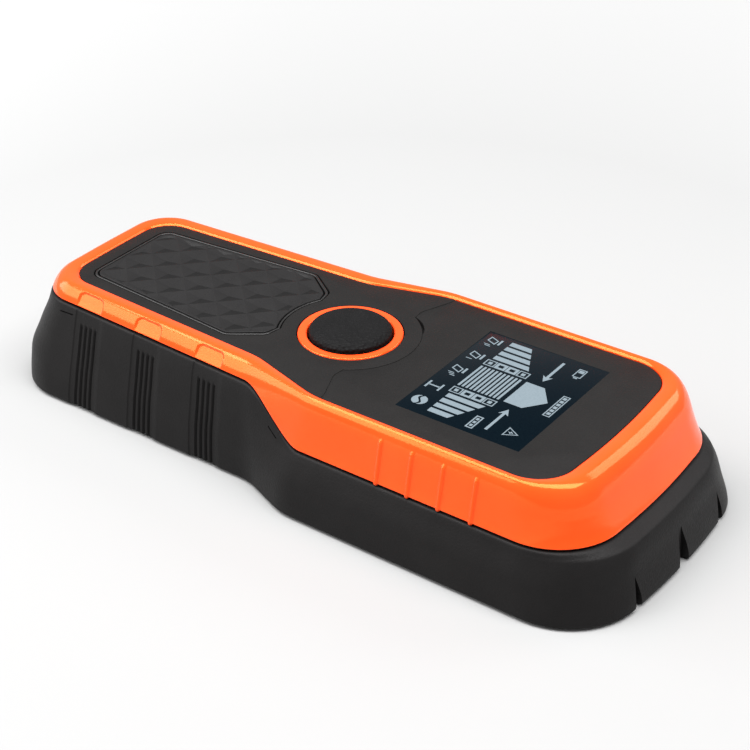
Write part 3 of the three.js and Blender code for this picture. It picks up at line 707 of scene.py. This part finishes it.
def side_slots():
    """Short slots under the seam, at the tail corners and at the waist."""
    half_width, depth = 0.16, 0.7
    cutters = []
    for ends in SIDE_SLOTS:
        for side in (1, -1):
            a, b = (wall_point(*end) * [side, 1, 1] for end in ends)
            out = np.array([side * 0.97, 0.0, 0.24])
            across = np.cross(out, b - a)
            across *= half_width / np.linalg.norm(across)
            cutters.append(loft("cutter", [[p - across - out * depth, p + across - out * depth,
                                            p + across + out, p - across + out]
                                           for p in (a, b)]))
    return cutters


POCKET = {"shift": -0.6, "half": 2.5, "reach": 2.3, "corner": 1.7, "edge": (-0.26, 0.2),
          "ramp": (-0.3, 2.0), "depth": 0.5}
RIB = {"half": 0.62, "height": 0.55, "top": (26.6, 27.6)}
FRAME_ROLL = [(0.22, 0), (0.06, 0.1)]  # inset and rise of the edge that rolls in at the seam
LEDGE = [(0.0, 28.2), (0.0, 27.0), (2.6, 27.0), (2.6, 25.2), (-0.6, 25.2), (-0.6, 28.0)]
TONGUE_SLOT = {"inset": 0.9, "height": 1.8}


def frame_relief(rows):
    """Outward height on the orange frame: thumb pockets on the handle, ribs on the head."""
    y, z = rows[..., 1], rows[..., 2]
    run = np.cumsum(np.r_[np.zeros((1, rows.shape[1])),
                          np.linalg.norm(np.diff(rows, axis=0), axis=2)], axis=0)
    relief = np.zeros_like(y)
    for centre in GROOVE_CENTRES:
        across = np.maximum(np.abs(y - centre - POCKET["shift"]) - POCKET["half"], 0)
        ahead = np.maximum(run - POCKET["reach"], 0)
        outside = np.hypot(across, ahead) - POCKET["corner"]
        pocket = 1 - smoothstep(*POCKET["edge"], outside)
        relief = np.minimum(relief, -POCKET["depth"] * pocket * smoothstep(*POCKET["ramp"], run))
    fade = 1 - smoothstep(*RIB["top"], z)
    for centre in RIB_CENTRES:
        relief = relief + RIB["height"] * ridge_shape(y - centre, RIB["half"]) * fade
    return relief


def orange_frame():
    """Orange upper half: one closed ring from the parting line over the bead and back."""
    row_count, skin_start = 56, 0.28
    end = LEVEL_AT[-1]
    rows = [at_profile(inset, FRAME_AT + rise) for inset, rise in FRAME_ROLL]
    rows += [at_profile(0.0, FRAME_AT + skin_start + (end - FRAME_AT - skin_start) * s)
             for s in np.linspace(0, 1, row_count)]
    rows = np.array(rows)
    rows = list(rows + row_normals(rows) * frame_relief(rows)[..., None])
    for inset, z in LEDGE:
        rows.append(level_row(at_profile(inset, np.full(len(SEAM), end))[:, :2], z))
    inner_top, crest_limit = LEDGE[-1][1], 29.6
    slot_top = SEAM + TONGUE_SLOT["height"]
    for share in np.linspace(0, 1, 5):
        z = inner_top * (1 - share) + slot_top * share
        rows.append(at_height(WALL, np.minimum(z + WALL * (1 - share), crest_limit), z))
    rows.append(at_height(TONGUE_SLOT["inset"], slot_top))
    rows.append(at_height(TONGUE_SLOT["inset"], SEAM + PARTING))
    piece = loft("orange_frame", rows, closed=True)
    join(piece, posts(CASE_SCREWS, 16.2, 25.8, BOSS_RADIUS))
    cut(piece, posts(CASE_SCREWS, 10, 24.6, SCREW_HOLE, 32))
    return soften(piece, 38)


finish_piece(base_case(), "case", "black_shell", ["lower_shell"])
finish_piece(orange_frame(), "case", "orange_shell", ["upper_frame"])

# -------------------- top plates
PLATE_GAP = 0.02
APRON = 17.2  # radius of the handle plate's round end, about the button
RING_HOLE = 13.0
SPLIT = [(60, -120, 0), (60, 9.8, 0), (26.5, 9.8, 6), (18, 6.4, 3)]  # line between the plates
PAD_TOP = 29.34
ABOVE = 40
THROUGH = (0, 60)  # Z of a cutter that goes right through the plates


def opening_loop(inset):
    return full_loop(resample(right_half(LEVELS[-1], inset)))


def button_arc(radius, angles):
    """Corners (x, y, 0) on a circle about the button."""
    return [(radius * math.cos(a), BUTTON_Y + radius * math.sin(a), 0) for a in angles]


def handle_side(grow):
    """Boundary of the handle panel: an apron round the button that runs out to the sides."""
    angles = np.radians(np.linspace(30, 150, 61))
    side = [SPLIT[0], *((x, y + grow, radius) for x, y, radius in SPLIT[1:])]
    return rounded_loop([*side, *button_arc(APRON + grow, angles), *mirrored(side)], 8)


def grip_loop(inset):
    """Outline of the grip pad, hollowed at its nose end to run round the button."""
    right = [(13.7 - inset, -72.1 + inset, 3 - inset * 0.5), (16.0 - inset, -42.9, 40),
             (17.5 - inset, -26.1 - inset * 0.5, 3), (11.8 - inset, -18.4 - inset, 3)]
    bay = 17.9
    angles = -np.pi / 2 + math.radians(29) * np.linspace(1, -1, 25)
    return rounded_loop([*right, *button_arc(bay + inset, angles), *mirrored(right)], 10)


def handle_plate():
    """Plate of the handle, with the pad's tray and the hole for the button's ring."""
    fit, tray_margin, tray_floor = 0.16, 1.05, 27.8
    piece = prism("handle_plate", opening_loop(fit), PLATE_BOTTOM, PANEL_TOP)
    combine(piece, [prism("cutter", handle_side(-PLATE_GAP / 2), *THROUGH)], "INTERSECT")
    cut(piece, [prism("cutter", grip_loop(-tray_margin), tray_floor, ABOVE),
                *posts([(0, BUTTON_Y)], 0, ABOVE, RING_HOLE, 128)])
    return soften(bevel(piece, 0.1, 3))


def gap_crescent():
    """The stretch beside the ring where the gap between the plates opens up."""
    start, end, widest, floor = 122, 152, 0.75, 27.9
    angles = np.linspace(start, end, 31)
    radius = APRON + widest * np.sin(np.pi * (angles - start) / (end - start)) ** 0.7
    outer = [button_arc(r, [math.radians(a)])[0][:2] for r, a in zip(radius, angles)]
    inner = [corner[:2] for corner in button_arc(APRON - 1, np.radians(angles[::-1]))]
    return prism("cutter", outer + inner, floor, ABOVE)


def screen_plate():
    """Plate of the head, with the window's opening."""
    fit, window_fit = 0.28, 0.12
    piece = prism("screen_plate", opening_loop(fit), PLATE_BOTTOM, BEZEL_TOP)
    window = wide_slab(WINDOW_HIGH[0] + window_fit, WINDOW_LOW[1] - window_fit,
                       WINDOW_HIGH[1] + window_fit, 0, ABOVE)
    cut(piece, [prism("cutter", handle_side(PLATE_GAP / 2), *THROUGH), gap_crescent(), window])
    return soften(bevel(piece, 0.06, 2))


def pad_bead():
    """Raised bead in the groove between the grip pad and the plate."""
    section = [(-0.74, 27.7), (-0.74, 29.1), (-0.69, 29.22), (-0.6, 29.3), (-0.47, 29.33),
               (-0.34, 29.3), (-0.25, 29.22), (-0.2, 29.1), (-0.2, 27.7)]
    rows = [level_row(grip_loop(inset), z) for inset, z in section]
    return soften(loft("pad_bead", rows, closed=True))


DIMPLE = {"x": 4.98, "first_x": 2.49, "columns": (-5, 4), "y": 4.92, "first_y": -67.0,
          "rows": (-2, 12), "ridge": PAD_TOP, "pit": 28.7, "underside": 27.0}


def dimple_field():
    """Square dimples set cornerwise, their ridges level, over a flat underside."""
    points, faces = [], []
    index = {}

    def vertex(i, j):
        if (i, j) not in index:
            index[(i, j)] = len(points)
            z = DIMPLE["pit"] if (i + j) % 2 == 0 else DIMPLE["ridge"]
            points.append((DIMPLE["first_x"] + DIMPLE["x"] * i,
                           DIMPLE["first_y"] + DIMPLE["y"] * j, z))
        return index[(i, j)]

    (i0, i1), (j0, j1) = DIMPLE["columns"], DIMPLE["rows"]
    for i in range(i0, i1):
        for j in range(j0, j1):
            a, b = vertex(i, j), vertex(i + 1, j)
            c, d = vertex(i + 1, j + 1), vertex(i, j + 1)
            if (i + j) % 2 == 0:
                faces += [(a, b, d), (b, c, d)]
            else:
                faces += [(a, b, c), (a, c, d)]
    rim = ([(i, j0) for i in range(i0, i1)] + [(i1, j) for j in range(j0, j1)]
           + [(i, j1) for i in range(i1, i0, -1)] + [(i0, j) for j in range(j1, j0, -1)])
    top = [index[key] for key in rim]
    start = len(points)
    points += [(points[k][0], points[k][1], DIMPLE["underside"]) for k in top]
    count = len(top)
    for k in range(count):
        n = (k + 1) % count
        faces.append((start + k, start + n, top[n], top[k]))
    faces.append(tuple(range(start + count - 1, start - 1, -1)))
    return make_object("grip_tile", points, faces)


def grip_tile():
    """Rubber pad: a field of dimples inside a flat border with a rounded edge."""
    piece = dimple_field()
    underside = 28.1
    combine(piece, [prism("cutter", grip_loop(0.8), underside, 31)], "INTERSECT")
    border = [(0.14, underside), (0.14, 29.1), (0.17, 29.22), (0.24, 29.3), (0.36, PAD_TOP),
              (0.6, 29.33), (0.75, 29.28), (0.9, 29.28), (1.9, 28.7), (1.95, underside)]
    join(piece, [loft("cutter", [level_row(grip_loop(inset), z) for inset, z in border])])
    return soften(piece, 3)


def paint_shade_on_tail_sides(piece):
    """Painted shade: the side of each dimple that looks toward the tail and the left gets a darker,
    less shiny copy of the rubber, standing in for the shade that falls on it.
    """
    piece.data.materials.append(FINISH["grip_painted_shade"])
    level, steepest, flattest = 0.05, 0.97, 0.995
    for face in piece.data.polygons:
        x, y, z = face.normal
        if max(x, y) < -level and steepest < z < flattest:
            face.material_index = 1
    return piece


finish_piece(handle_plate(), "case", "black_panel", ["handle_panel"])
finish_piece(screen_plate(), "case", "black_panel", ["screen_bezel"])
finish_piece(pad_bead(), "case", "black_panel", finish="black_trim")
# Painted shade on the dimple sides that face the tail and the left
paint_shade_on_tail_sides(
    finish_piece(grip_tile(), "case", "soft_rubber", ["grip_pad"], "grip_rubber"))

# -------------------- button
# Corners as (radius, z, rounding).
RING_PROFILE = [(10.5, 25.4, 0), (14.2, 25.4, 0.2), (14.2, 27.0, 0.2), (12.75, 27.0, 0.2),
                (12.75, 29.45, 0.45), (10.5, 29.45, 0.45)]
CAP_PROFILE = [(AXIS, 23.6, 0), (12.0, 23.6, 0.2), (12.0, 25.0, 0.2), (10.05, 25.0, 0.2),
               (9.98, 30.2, 0.9), (8.6, 31.25, 3.0), (4.5, 31.55, 20), (AXIS, 31.6, 0)]


def thumb_ring():
    profile = rounded_loop(RING_PROFILE, 6)
    return soften(turned("thumb_ring", profile, 0, BUTTON_Y, 160, closed=True))


def thumb_button():
    return soften(turned("thumb_button", rounded_profile(CAP_PROFILE, 8), 0, BUTTON_Y, 160))


finish_piece(thumb_ring(), "case", "orange_shell", ["button_ring"])
finish_piece(thumb_button(), "power_button", "soft_rubber", ["button_cap"])

# -------------------- display
PICTURE_X = -0.33
PICTURE_Y = float(node_middle("display_window")[1]) + 0.17
MARK_BOTTOM, MARK_TOP = BEZEL_TOP - 0.03, BEZEL_TOP


def anticlockwise(points):
    points = np.asarray(points, float)
    area = np.cross(points, np.roll(points, -1, axis=0)).sum()
    return points if area > 0 else points[::-1]


def shrink(points, distance):
    """Anticlockwise convex polygon with its sides moved in by distance."""
    out = []
    count = len(points)
    for i in range(count):
        a, b, c = points[i - 1], points[i], points[(i + 1) % count]
        d1, d2 = (b - a) / np.linalg.norm(b - a), (c - b) / np.linalg.norm(c - b)
        n1, n2 = np.array([-d1[1], d1[0]]), np.array([-d2[1], d2[0]])
        out.append(np.linalg.solve(np.array([n1, n2]),
                                   [n1 @ b + distance, n2 @ b + distance]))
    return np.array(out)


class Picture:
    """Flat marks gathered into one thin mesh."""

    def __init__(self):
        self.points, self.faces = [], []

    def add_rows(self, rows, closed=False):
        """Rows of (loop, z), each joined to the next, and if closed the last to the first."""
        start = len(self.points)
        for loop, z in rows:
            self.points += [(PICTURE_X + x, PICTURE_Y + y, z) for x, y in loop]
        quads = wrap_faces(len(rows), len(rows[0][0]), closed)
        self.faces += [tuple(start + v for v in quad) for quad in quads]

    def solid(self, outline):
        outline = anticlockwise(outline)
        start, count = len(self.points), len(outline)
        self.faces.append(tuple(range(start + count - 1, start - 1, -1)))
        self.faces.append(tuple(range(start + count, start + 2 * count)))
        self.add_rows([(outline, MARK_BOTTOM), (outline, MARK_TOP)])

    def bar(self, x0, x1, y0, y1):
        self.solid([(x0, y0), (x1, y0), (x1, y1), (x0, y1)])

    def outline(self, points, width):
        """Frame along the inside of a convex polygon."""
        outer = anticlockwise(points)
        inner = shrink(outer, width)
        self.add_rows([(outer, MARK_BOTTOM), (outer, MARK_TOP), (inner, MARK_TOP),
                       (inner, MARK_BOTTOM)], closed=True)

    def box(self, x0, x1, y0, y1, width):
        self.outline([(x0, y0), (x1, y0), (x1, y1), (x0, y1)], width)


def draw_scale(picture, side):
    """Four stripes that shorten outward, as the signal bars on one side."""
    first, pitch, width, bottom, top, fall = 9.25, 2.42, 1.66, -9.3, 0.55, 0.5
    for k in range(4):
        inner, outer = first + k * pitch, first + k * pitch + width
        ends = [top - (u - first) * fall for u in (inner, outer)]
        picture.solid([(side * inner, bottom), (side * outer, bottom), (side * outer, ends[1]),
                       (side * inner, ends[0])])


def draw_edge_label(picture, side):
    """Label strip beside the scale: four generic cells."""
    x0, x1 = sorted((side * 5.95, side * 8.5))
    bottom, pitch, height, thin, thick = -10.0, 2.98, 2.8, 0.3, 0.72
    for k in range(4):
        y0 = bottom + k * pitch
        picture.box(x0, x1, y0, y0 + height, thin if k in (0, 3) else thick)
        if k in (0, 3):
            picture.bar(x0 + 0.75, x1 - 0.75, y0 + 0.9, y0 + 1.9)


def draw_arrow(picture, side):
    tail, tip, barb, notch, y, shaft, wing = 17.1, 7.3, 2.5, 2.0, 5.5, 0.36, 1.3
    upper = [(tail, shaft), (tip + notch, shaft), (tip + barb, wing)]
    lower = [(x, -rise) for x, rise in upper]
    outline = [lower[0], *upper, (tip, 0), lower[2], lower[1]]
    picture.solid([(side * x, y + rise) for x, rise in outline])


def draw_stud(picture, x, y, ticks):
    """A stud seen end on, with a bar above it and short ticks beside it."""
    picture.outline([(x - 1.5, y - 1.1), (x + 0.5, y - 1.3), (x + 1.5, y + 1.2),
                     (x - 0.5, y + 1.4)], 0.3)
    picture.bar(x - 1.2, x + 1.2, y + 1.75, y + 2.3)
    for k in range(ticks):
        left = x + 2.0 + 0.55 * k
        picture.bar(left, left + 0.25, y - 1.2 + 0.5 * k, y + 0.4 + 0.4 * k)


def draw_wave(picture, x, y, radius):
    """Disc cut in two by one period of a wave."""
    steps, gap, reach, swing = 24, 0.3, 0.97, 0.55
    across = np.linspace(-1, 1, steps)
    for side in (-1, 1):
        wave = [(radius * reach * t, side * gap + swing * math.sin(math.pi * t)) for t in across]
        first = math.atan2(wave[-1][1], wave[-1][0])
        last = math.atan2(wave[0][1], wave[0][0]) % (2 * math.pi)
        if side < 0:
            last -= 2 * math.pi
        sweep = np.linspace(first, last, steps)[1:-1]
        rim = [(radius * math.cos(a), radius * math.sin(a)) for a in sweep]
        picture.solid([(x + u, y + v) for u, v in wave + rim])


def display_marks():
    """The picture on the display: scales, arrows, pointer and generic icons."""
    picture = Picture()
    for side in (-1, 1):
        draw_scale(picture, side)
        draw_edge_label(picture, side)
        draw_arrow(picture, side)
    for k in range(11):
        y0 = -9.75 + k * 1.05
        picture.bar(-5.1, 5.1, y0, y0 + 0.6)
    # pointer
    picture.solid([(-5.05, 2.6), (5.05, 2.6), (5.05, 7.45), (0, 11.2), (-5.05, 7.45)])
    # battery
    picture.box(-17.1, -13.3, 9.7, 11.9, 0.28)
    picture.bar(-16.6, -15.4, 10.15, 11.45)
    picture.bar(-13.15, -12.7, 10.3, 11.3)
    # boxes of plain cells
    picture.box(-4.85, 4.85, 12.6, 14.5, 0.28)
    for k in range(6):
        picture.bar(-4.2 + k * 1.45, -3.2 + k * 1.45, 13.1, 14.0)
    picture.box(13.4, 18.7, 1.0, 2.9, 0.35)
    for k in range(3):
        picture.bar(14.2 + k * 1.4, 15.1 + k * 1.4, 1.6, 2.3)
    # triangle round a zigzag
    picture.outline([(13.2, 9.5), (16.9, 9.5), (15.05, 12.8)], 0.25)
    picture.solid([(15.3, 11.6), (14.5, 10.7), (15.0, 10.7), (14.8, 9.95), (15.6, 10.9),
                   (15.1, 10.9)])
    # beam
    picture.bar(7.0, 10.0, -15.7, -15.2)
    picture.bar(7.0, 10.0, -12.3, -11.8)
    picture.bar(8.3, 8.75, -15.1, -12.4)
    draw_wave(picture, 15.4, -13.2, 1.9)
    for x, ticks in ((-0.9, 3), (-8.4, 1), (-16.3, 2)):
        draw_stud(picture, x, -13.6, ticks)
    return make_object("display_marks", picture.points, picture.faces)


def display_face():
    """Display glass, bonded to its cover so that the picture lies just under the surface."""
    overlap, underside = 0.28, 26.0
    low, high = WINDOW_LOW - overlap, WINDOW_HIGH + overlap
    piece = slab(low[0], high[0], low[1], high[1], underside, MARK_BOTTOM - 0.005, "display_face")
    return soften(bevel(piece, 0.06, 2))


finish_piece(display_face(), "case", "lcd_glass", ["display_window", "lcd_panel"])
finish_piece(display_marks(), "case", "lcd_glass", finish="lcd_marks")

# -------------------- door, screws and pads
DOOR_LOW, DOOR_HIGH = node_box("battery_door")


def door_cover():
    """Sliding battery cover: plate, side rails and finger grooves, cut to the tail's curve."""
    rows = [at_height(0.06, z) for z in (FOOT, 0.7, 1.2, 1.8, 2.2)]
    piece = loft("door_cover", rows)
    length, above = (-95, -24.5), 3
    plate = wide_slab(15.5, *length, 0, above)
    join(plate, [wide_slab(16.9, *length, 1.4, above)])
    combine(piece, [plate], "INTERSECT")
    pitch, width, depth = 2.4, 1.2, 0.5
    starts = [-80 + pitch * k for k in range(6)]
    cut(piece, [wide_slab(9, y, y + width, 0, FOOT + depth) for y in starts])
    return soften(piece)


def case_screw(number, x, y):
    """Self-tapping screw with a cross recess, its head in the underside's counterbore."""
    profile = [(AXIS, 2.1), (1.3, 2.15), (2.2, 2.5), (2.6, 3.0), (2.6, 4.0), (1.35, 4.0)]
    thread_start, threads, root, crest = 5, 18, 1.15, 1.4
    for k in range(threads):
        profile += [(root, thread_start + k), (crest, thread_start + k + 0.5)]
    profile += [(1.1, 23.2), (AXIS, 24)]
    piece = turned(f"screw_{number}", profile, x, y, 40)
    arm, half, recess = 1.5, 0.28, (1.5, 3.1)
    cut(piece, [slab(x - a, x + a, y - b, y + b, *recess) for a, b in ((arm, half), (half, arm))])
    return soften(piece)


def glide_pad(number, x, y):
    profile = rounded_profile([(AXIS, 0, 0), (3.5, 0, 0.25), (3.5, 1, 0.15), (AXIS, 1, 0)], 5)
    return soften(turned(f"felt_pad_{number}", profile, x, y, 64))


def foam_strip():
    piece = slab(*np.c_[node_box("battery_foam")].ravel(), "foam_strip")
    return soften(bevel(piece, 0.5, 4))


finish_piece(door_cover(), "door", "black_shell", ["battery_door"])
for number, (x, y) in enumerate(CASE_SCREWS, 1):
    finish_piece(case_screw(number, x, y), "case", "plated_steel", [f"case_screw_{number}"])
for number, (x, y) in enumerate(GLIDE_PADS, 1):
    finish_piece(glide_pad(number, x, y), "case", "felt", [f"glide_pad_{number}"])
finish_piece(foam_strip(), "case", "foam", ["battery_foam"])

# -------------------- carried-over CAD nodes
NODE_FINISH = {
    "white_plastic": ["button_plunger", "switch_stem", "backlight", "display_frame"],
    "chip_black": ["switch_body", "microcontroller", "buzzer", "capacitor", "board_link",
                   "battery_clip", "zebra_strip_1", "zebra_strip_2"],
    "circuit_board": ["main_board", "sensor_board"],
    "copper_foil": ["sensor_plate_1", "sensor_plate_2", "sensor_plate_3"],
    "plated_steel": ["crystal_can", "board_screw_1", "board_screw_2", "board_screw_3",
                     "board_screw_4"],
    "battery_can": ["battery"],
    "black_wire": ["lead_black"],
    "red_wire": ["lead_red"],
}
for finish, names in NODE_FINISH.items():
    for name in names:
        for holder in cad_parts[name].material_slots:
            holder.material = FINISH[finish]


# -------------------- stage, light and camera
def stage_floor():
    """Pale paper floor that gets a little lighter away from the object: its darker middle is
    painted shade, which also cuts the light bouncing back onto the object.
    """
    half = 4000
    corners = [(-half, -half, 0), (half, -half, 0), (half, half, 0), (-half, half, 0)]
    floor = make_object("floor", corners, [(0, 1, 2, 3)])
    material, tree, shader, place = new_material("floor_paper")
    reach = add_node(tree, "VectorMath", 0, place, {})
    reach.operation = "LENGTH"
    painted_floor_shade = remap(tree, reach.outputs["Value"], 0, 1, 0.18, 1.3)
    # Painted shade: the floor is darker round the object and lighter far from it
    colour = blend_colours(tree, painted_floor_shade, (0.335, 0.335, 0.335), (0.9, 0.9, 0.9))
    tree.links.new(colour, shader.inputs["Base Color"])
    roughen(tree, shader, noise(tree, place, 400), 0.85, 0.95)
    set_inputs(shader, {"Specular IOR Level": 0})
    floor.data.materials.append(material)


def stand(thing, place, axes):
    """Puts a light or a camera at place, its own X, Y and Z along the three axes."""
    thing.matrix_world = Matrix.Translation(place) @ Matrix(axes).transposed().to_4x4()


def area_light(name, place, aim, along, size, power):
    """Rectangle of light at place, facing aim, its first size measured along a direction."""
    light = bpy.data.lights.new(name, "AREA")
    light.shape = "RECTANGLE"
    light.size, light.size_y = size
    light.energy = power
    back = (Vector(place) - Vector(aim)).normalized()
    across = Vector(along)
    across = (across - back * across.dot(back)).normalized()
    stand(new_object(name, light), place, (across, back.cross(across), back))


def light_scene():
    """White surround and three softboxes."""
    scene = bpy.context.scene
    scene.view_settings.view_transform = "Standard"
    world = bpy.data.worlds.new("studio")
    scene.world = world
    world.use_nodes = True
    set_inputs(world.node_tree.nodes["Background"], {"Color": (1, 1, 1, 1), "Strength": 0.45})
    area_light("softbox_top", (0.09, 0.04, 0.85), (0.09, 0.04, 0), (-0.4, 0.91, 0), (1.6, 0.5), 23)
    area_light("softbox_left", (0.4, -0.63, 0.43), (0, 0, 0.02), (0.6, 0.8, 0), (0.94, 0.46), 6.0)
    area_light("softbox_back", (-0.72, 0.31, 0.6), (0, 0.05, 0.02), (0, 1, 0), (0.58, 0.35), 2.1)


def add_camera():
    """Camera above the right-hand corner of the nose."""
    camera = bpy.data.cameras.new("camera")
    camera.sensor_width = 36
    camera.lens = 88.64
    camera.clip_start, camera.clip_end = 0.01, 50
    holder = new_object("camera", camera)
    right = (-0.57984, 0.81473, 0.00087)
    up = (-0.4282, -0.3056, 0.8504)
    back = (0.69314, 0.49275, 0.52608)
    stand(holder, (0.30775, 0.22408, 0.25337), (right, up, back))
    bpy.context.scene.camera = holder


stage_floor()
light_scene()
add_camera()
